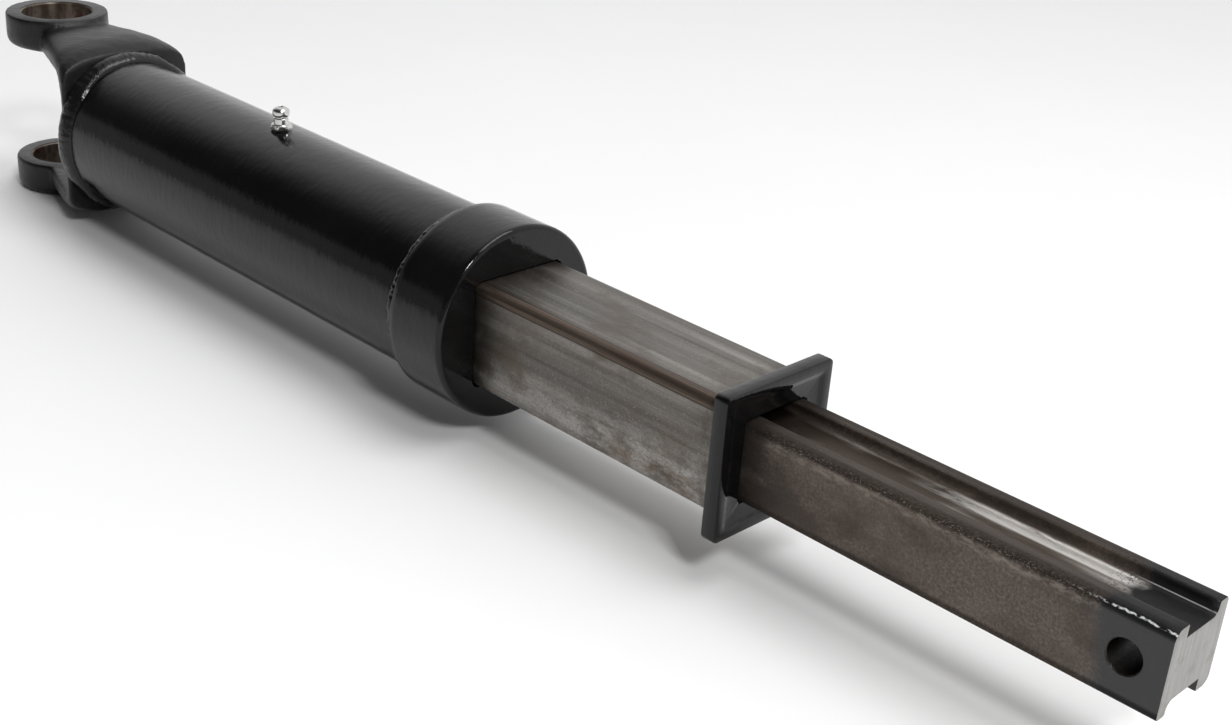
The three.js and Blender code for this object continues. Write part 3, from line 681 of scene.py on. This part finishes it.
# ---------------------------------------------------------------- weld beads
def weld_ring(name, x_mid, width, r_base, height, n_ripples, seed, slant=0.0, lift=None, shift=None, r_in=None, ripple=0.26, lumps=0.24):
    """A bead laid round the shaft: overlapping ripples, an uneven edge and a wandering crest."""
    n = 720
    m = 22
    rings = []
    for i in range(n):
        a = 2 * math.pi * i / n
        w = 1 + 0.13 * noise.noise(Vector((math.cos(a) * 2.2, math.sin(a) * 2.2, seed)))
        hgt = height * (1 + 0.22 * noise.noise(Vector((math.cos(a) * 3.1, math.sin(a) * 3.1, seed + 5))))
        off = 0.55 * noise.noise(Vector((math.cos(a) * 2.7, math.sin(a) * 2.7, seed + 9)))
        if lift:
            hgt += lift(a)
        if shift:
            off += shift(a)
        ring = []
        for j in range(m + 1):
            t = -1 + 2 * j / m
            # ripples bow backward away from the middle of the bead
            ph = n_ripples * a + 1.9 * (t * t) + 5.0 * noise.noise(Vector((math.cos(a) * 5, math.sin(a) * 5, seed + 2)))
            rip = 0.5 + 0.5 * math.cos(ph)
            rip = rip ** 0.7
            calm = 0.5 + 0.9 * noise.noise(Vector((math.cos(a) * 4, math.sin(a) * 4, seed + 12)))
            prof = (1 - abs(t) ** 2.4) ** 0.62
            r = r_base + prof * hgt + prof * (rip - 0.6) * ripple * min(1.0, max(0.12, calm))
            r += prof * lumps * noise.noise(Vector((math.cos(a) * 11, math.sin(a) * 11, t * 0.9 + seed + 20)))
            xx = x_mid + off + t * width / 2 * w + slant * prof
            if abs(t) > 0.98:
                r = r_base
            r += 0.05 * noise.noise(Vector((math.cos(a) * 30, math.sin(a) * 30, t * 4 + seed)))
            ring.append((xx, r * math.cos(a), r * math.sin(a)))
        ri = r_in if r_in is not None else r_base - 0.05
        ring.append((x_mid + width * 0.35, ri * math.cos(a), ri * math.sin(a)))
        ring.append((x_mid - width * 0.35, ri * math.cos(a), ri * math.sin(a)))
        rings.append(ring)
    # join round the shaft (rings) and round each section
    k = len(rings[0])
    verts = [p for r in rings for p in r]
    faces = []
    for i in range(n):
        a0, b0 = i * k, ((i + 1) % n) * k
        for j in range(k):
            jj = (j + 1) % k
            faces.append((a0 + j, a0 + jj, b0 + jj, b0 + j))
    ob = mesh_object(name, verts, faces, angle=60)
    paint_it(ob, M["weld"])
    return ob


def yoke_lift(a):
    # the bead stands prouder where it climbs the arms' shoulders
    return 0.9 * max(0.0, abs(math.sin(a)) - 0.35) / 0.65


yb = weld_ring("yoke_weld_detail", 60.6, 9.4, TUBE_R + 0.05, 2.3, 58, 3.3, slant=-0.9, lift=yoke_lift,
               shift=lambda a: -0.3 + 0.5 * math.cos(2 * a), r_in=29.3)
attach(yb, "outer")
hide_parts("yoke_weld_bead")

cb = weld_ring("collar_weld_detail", 284.2, 4.6, TUBE_R + 0.05, 2.55, 88, 7.7, slant=0.7, r_in=TUBE_R + 0.02, ripple=0.30, lumps=0.62)
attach(cb, "outer")
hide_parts("collar_weld_bead")

# ----------------------------------------------------------------- outer tube
prof = [(TUBE_X0, TUBE_IN), (TUBE_X0, TUBE_R - 1.5), (TUBE_X0 + 1.5, TUBE_R)]
prof += [(TUBE_X0 + 1.5 + (TUBE_X1 - TUBE_X0 - 2) * i / 40, TUBE_R) for i in range(1, 41)]
prof += [(TUBE_X1, TUBE_R - 0.5), (TUBE_X1, TUBE_IN)]
tube = turned_x("outer_tube_detail", prof, n=256)
boolean(tube, cyl("c", 3.2, 20, 40, "z", NIP_X, 0, n=48))
shade(tube, 35)
paint_it(tube, M["gloss"])
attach(tube, "outer")
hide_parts("outer_tube")

# --------------------------------------------------------------- end collar
prof = [(COLLAR_X0, TUBE_R + 0.3), (COLLAR_X0, COLLAR_R - 0.6), (COLLAR_X0 + 0.2, COLLAR_R - 0.2), (COLLAR_X0 + 0.6, COLLAR_R)]
prof += [(COLLAR_X0 + 0.6 + 24.8 * i / 12, COLLAR_R) for i in range(1, 12)]
for i in range(0, 9):
    a = math.pi / 2 * i / 8
    prof.append((COLLAR_X1 - 1.8 + 1.8 * math.sin(a), COLLAR_R - 1.8 + 1.8 * math.cos(a)))
prof += [(COLLAR_X1, 33.0), (COLLAR_X1, 28.0), (COLLAR_X1, 15.0), (COLLAR_X0 + 13.9, 15.0), (COLLAR_X0 + 13.9, TUBE_R + 0.3)]
collar = turned_x("end_collar_detail", prof, n=256)
boolean(collar, loops("c", [square_ring(COLLAR_X0 - 2, 19.4, 2.8), square_ring(COLLAR_X1 - 0.35, 19.4, 2.8), square_ring(COLLAR_X1 + 0.35, 20.1, 3.2)], closed_ring=False))
# the groove that the wiper sits in
boolean(collar, loops("c", [square_ring(303.3, 21.6, 3.5), square_ring(307.5, 21.6, 3.5)], closed_ring=False))
shade(collar, 32)
paint_it(collar, M["gloss"])
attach(collar, "outer")
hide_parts("end_collar")

# --------------------------------------------------------------- square tube
xs = [SQ_X0 + (SQ_X1 - SQ_X0) * i / 60 for i in range(61)]
rings = [square_ring(x, SQ, SQ_R) for x in xs]
rings += [square_ring(SQ_X1, SQ_IN, 1.5), square_ring(SQ_X0, SQ_IN, 1.5)]
sq = loops("square_tube_detail", rings, closed_ring=True, angle=30)
boolean(sq, cyl("c", 3.2, -25, 25, "y", 204.6, 0, n=48))
boolean(sq, cyl("c", 3.2, -25, 25, "z", 211.0, 0, n=48))
heal(sq)
shade(sq, 30)
paint_it(sq, M["drawn"])
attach(sq, "middle")
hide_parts("square_tube")

# ----------------------------------------------------------------- end plate
R0 = 1.9
plate_rings = [
    square_ring(PLATE_X0, PLATE_OPEN, 1.4), square_ring(PLATE_X0, PLATE - 0.5, R0 - 0.4), square_ring(PLATE_X0 + 0.15, PLATE - 0.15, R0 - 0.1),
    square_ring(PLATE_X0 + 0.5, PLATE, R0), square_ring(PLATE_X1 - 0.6, PLATE, R0), square_ring(PLATE_X1 - 0.15, PLATE - 0.15, R0 - 0.1),
    square_ring(PLATE_X1, PLATE - 0.6, R0 - 0.4), square_ring(PLATE_X1, 21.1, 1.5), square_ring(PLATE_X1 - 0.14, 20.6, 1.4),
    square_ring(PLATE_X1 - 0.66, 19.5, 1.1), square_ring(PLATE_X1 - 0.8, 18.9, 1.0), square_ring(PLATE_X1 - 0.8, PLATE_OPEN + 0.4, 1.6),
    square_ring(PLATE_X1 - 1.2, PLATE_OPEN, 1.4),
]
plate = loops("end_plate_detail", plate_rings, closed_ring=True, angle=40)
paint_it(plate, M["gloss"])
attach(plate, "middle")
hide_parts("end_plate")

# ----------------------------------------------------------------- inner bar
def bar_outline():
    half = []

    def arc(cy, cz, r, a0, a1, n):
        for i in range(n + 1):
            a = math.radians(a0 + (a1 - a0) * i / n)
            half.append((cy + r * math.cos(a), cz + r * math.sin(a)))
    arc(BAR - 1.2, BAR - 1.2, 1.2, 0, 90, 8)
    for i in range(1, 5):
        half.append((BAR - 1.2 - (BAR - 1.2 - 9.7) * i / 5, BAR))
    arc(9.9, 12.6, 0.9, 90, 180, 6)
    arc(6.5, 12.0, 2.5, 0, -90, 10)
    for i in range(1, 16):
        half.append((6.5 - (6.5 + 7.0) * i / 16, 9.5))
    half.append((-7.0, 9.5))
    for i in range(1, 4):
        half.append((-7.0, 9.5 + i * 0.9))
    arc(-7.35, 13.15, 0.35, 0, 90, 4)
    half.append((-8.6, BAR))
    arc(-(BAR - 3.4), BAR - 3.4, 3.4, 90, 180, 14)
    for i in range(1, 20):
        half.append((-BAR, (BAR - 3.4) - (BAR - 3.4 + BAR - 1.2) * i / 20))
    return half + [(-y, -z) for y, z in half]


def inset(outline, d):
    n = len(outline)
    out = []
    for i in range(n):
        p = Vector(outline[i - 1])
        q = Vector(outline[(i + 1) % n])
        t = (q - p).normalized()
        c = Vector(outline[i]) + Vector((-t.y, t.x)) * d
        out.append((c.x, c.y))
    return out


ol = bar_outline()
nb = len(ol)
ring = lambda x, o: [(x, y, z) for y, z in o]
xs = [BAR_X0 + (BAR_X1 - 0.3 - BAR_X0) * i / 80 for i in range(81)]
rings = [ring(x, ol) for x in xs] + [ring(BAR_X1 - 0.1, inset(ol, 0.10)), ring(BAR_X1, inset(ol, 0.28))]
bar = loops("inner_bar_detail", rings, closed_ring=False, angle=32)
boolean(bar, cyl("c", HOLE_R, -20, 20, "y", HOLE_X, 0, n=96,
                 profile=[(-15, HOLE_R + 1.9), (-13.45, HOLE_R + 0.35), (-13.1, HOLE_R), (13.1, HOLE_R), (13.45, HOLE_R + 0.35), (15, HOLE_R + 1.9)]))
boolean(bar, cyl("c", 4.15, BAR_X0 - 1, BAR_X0 + 19.5, "x", n=48))
shade(bar, 32)
paint_it(bar, M["bar"])
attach(bar, "inner")
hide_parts("inner_bar")

# -------------------------------------------------------------- grease nipple
def build_nipple():
    s = 32.05
    prof = [(26.4, 2.5), (26.9, 2.9), (s - 0.6, 2.9), (s - 0.2, 3.3), (s + 0.2, 3.5), (s + 1.5, 3.3), (s + 2.0, 3.02), (s + 2.25, 2.86),
            (s + 4.2, 2.80), (s + 4.45, 2.62), (s + 4.62, 2.40), (s + 4.85, 2.40), (s + 5.05, 2.66), (s + 5.3, 3.02), (s + 5.65, 3.24),
            (s + 6.1, 3.3), (s + 7.1, 3.28), (s + 7.55, 3.15), (s + 7.95, 2.85), (s + 8.3, 2.4), (s + 8.6, 1.8), (s + 8.8, 1.25),
            (s + 8.85, 1.0), (s + 8.7, 0.85), (s + 8.3, 0.8),
            (s + 7.9, 0.78), (39.1, 1.5), (30.5, 1.5), (30.4, 0.9), (26.4, 0.9)]
    n = 72
    rings = []
    for z, r in prof:
        rings.append([(NIP_X + r * math.cos(2 * math.pi * j / n), r * math.sin(2 * math.pi * j / n), z) for j in range(n)])
    body = loops("nipple_detail", rings, closed_ring=True, angle=40)
    # hexagon with rounded-off corners, top and bottom
    hexa = []
    for z, cut in ((s, 0.0), (s + 0.4, 0.0), (s + 1.3, 0.0), (s + 1.75, 0.35), (s + 2.0, 0.75)):
        ring6 = []
        for j in range(n):
            a = 2 * math.pi * j / n
            rh = 3.64 / math.cos((a % (math.pi / 3)) - math.pi / 6)
            rr = min(rh, 4.2 - cut)
            ring6.append((NIP_X + rr * math.cos(a), rr * math.sin(a), z))
        hexa.append(ring6)
    hx = loops("hx", hexa, closed_ring=False, angle=25)
    boolean(hx, cyl("c", 2.0, s - 2, s + 5, "z", NIP_X, 0, n=48))
    boolean(body, hx, "UNION")
    shade(body, 28)
    paint_it(body, M["zinc"])
    return body


nip = build_nipple()
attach(nip, "outer")
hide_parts("grease_nipple")

# ------------------------------------------------------- remaining CAD solids
def keep(node, mat):
    ob = nodes[node]
    ob.data.materials.clear()
    ob.data.materials.append(M[mat].m)


for node, mat in (("collar_wiper", "rubber"), ("end_plate_weld_bead", "weld"), ("nipple_ball", "zinc"), ("nipple_spring", "dark"),
                  ("tube_rear_stop", "dark"), ("stop_pin_rear", "dark"), ("stop_pin_front", "dark"), ("bar_guide_block", "dark"),
                  ("guide_block_washer", "zinc"), ("guide_block_screw", "dark")):
    keep(node, mat)

# ------------------------------------------------------------ floor and light
WORLD_DIM, WORLD_BRIGHT, WORLD_NEAR = 0.055, 0.95, 0.26
floor_z = cad_box[0][2] - 0.0005
fm = Mat("floor")
fn = fm.noise(6, detail=3)
fm.set(Base_Color=fm.mix(fn, (0.90, 0.90, 0.90), (0.94, 0.94, 0.94)), Roughness=0.65)
fme = bpy.data.meshes.new("floor")
S = 9.0
fme.from_pydata([(-S, -S, floor_z), (S, -S, floor_z), (S, S, floor_z), (-S, S, floor_z)], [], [(0, 1, 2, 3)])
floor = bpy.data.objects.new("floor", fme)
bpy.context.collection.objects.link(floor)
paint_it(floor, fm)

world = bpy.data.worlds.new("w")
bpy.context.scene.world = world
world.use_nodes = True
wt = world.node_tree
bg = wt.nodes["Background"]
# a white wall on the far side, a dim room on the near side
wc = wt.nodes.new("ShaderNodeTexCoord")
ws = wt.nodes.new("ShaderNodeSeparateXYZ")
wt.links.new(wc.outputs["Generated"], ws.inputs[0])
wr = wt.nodes.new("ShaderNodeMapRange")
wr.interpolation_type = "SMOOTHSTEP"
wt.links.new(ws.outputs[1], wr.inputs[0])
for i, v in zip((1, 2, 3, 4), (-0.40, 0.26, WORLD_DIM, WORLD_BRIGHT)):
    wr.inputs[i].default_value = v
# and a paler strip low on the near side, where the room's wall shows above the table
lows = []
for sock, a, b, c, d in ((2, 0.20, 0.27, WORLD_NEAR, 0.0), (1, -0.50, -0.30, 1.0, 0.0)):
    r = wt.nodes.new("ShaderNodeMapRange")
    r.interpolation_type = "SMOOTHSTEP"
    wt.links.new(ws.outputs[sock], r.inputs[0])
    for i, v in zip((1, 2, 3, 4), (a, b, c, d)):
        r.inputs[i].default_value = v
    lows.append(r.outputs[0])
wm = wt.nodes.new("ShaderNodeMath")
wm.operation = "MULTIPLY"
wt.links.new(lows[0], wm.inputs[0])
wt.links.new(lows[1], wm.inputs[1])
wa = wt.nodes.new("ShaderNodeMath")
wa.operation = "ADD"
wt.links.new(wr.outputs[0], wa.inputs[0])
wt.links.new(wm.outputs[0], wa.inputs[1])
wt.links.new(wa.outputs[0], bg.inputs[1])
bg.inputs[0].default_value = (1.0, 1.0, 1.0, 1)


def area(name, loc, target, size, power, size_y=None):
    l = bpy.data.lights.new(name, "AREA")
    l.energy = power
    l.size = size
    if size_y:
        l.shape = "RECTANGLE"
        l.size_y = size_y
    o = bpy.data.objects.new(name, l)
    o.location = loc
    o.rotation_euler = (Vector(target) - Vector(loc)).to_track_quat("-Z", "Y").to_euler()
    bpy.context.collection.objects.link(o)
    return o


mid = (0.28, 0, 0)
area("key", (0.75, 0.25, 1.5), mid, 1.0, 11, 0.8)
area("fill", (1.35, -0.46, 1.10), mid, 0.26, 9, 0.26)

# --------------------------------------------------------------------- camera
cam = bpy.data.cameras.new("camera")
co = bpy.data.objects.new("camera", cam)
bpy.context.collection.objects.link(co)
F, CX, CY = 1716.9, 621.1, 369.0
right = Vector((0.7038879926, 0.7069543772, 0.0689724757))
down = Vector((0.3479259371, -0.2584950101, -0.9011813758))
fwd = Vector((-0.6192650775, 0.6583280628, -0.4279192980))
pos = Vector((0.3983 + 0.3125, -0.3695, 0.2421))
rot = Matrix((right, -down, -fwd)).transposed()
co.matrix_world = Matrix.Translation(pos) @ rot.to_4x4()
cam.sensor_fit = "HORIZONTAL"
cam.sensor_width = 36.0
cam.lens = F / 1232 * 36.0
cam.shift_x = -(CX - 616) / 1232
cam.shift_y = (CY - 362.5) / 1232
cam.clip_start = 0.01
bpy.context.scene.camera = co
bpy.context.scene.view_settings.view_transform = "Standard"
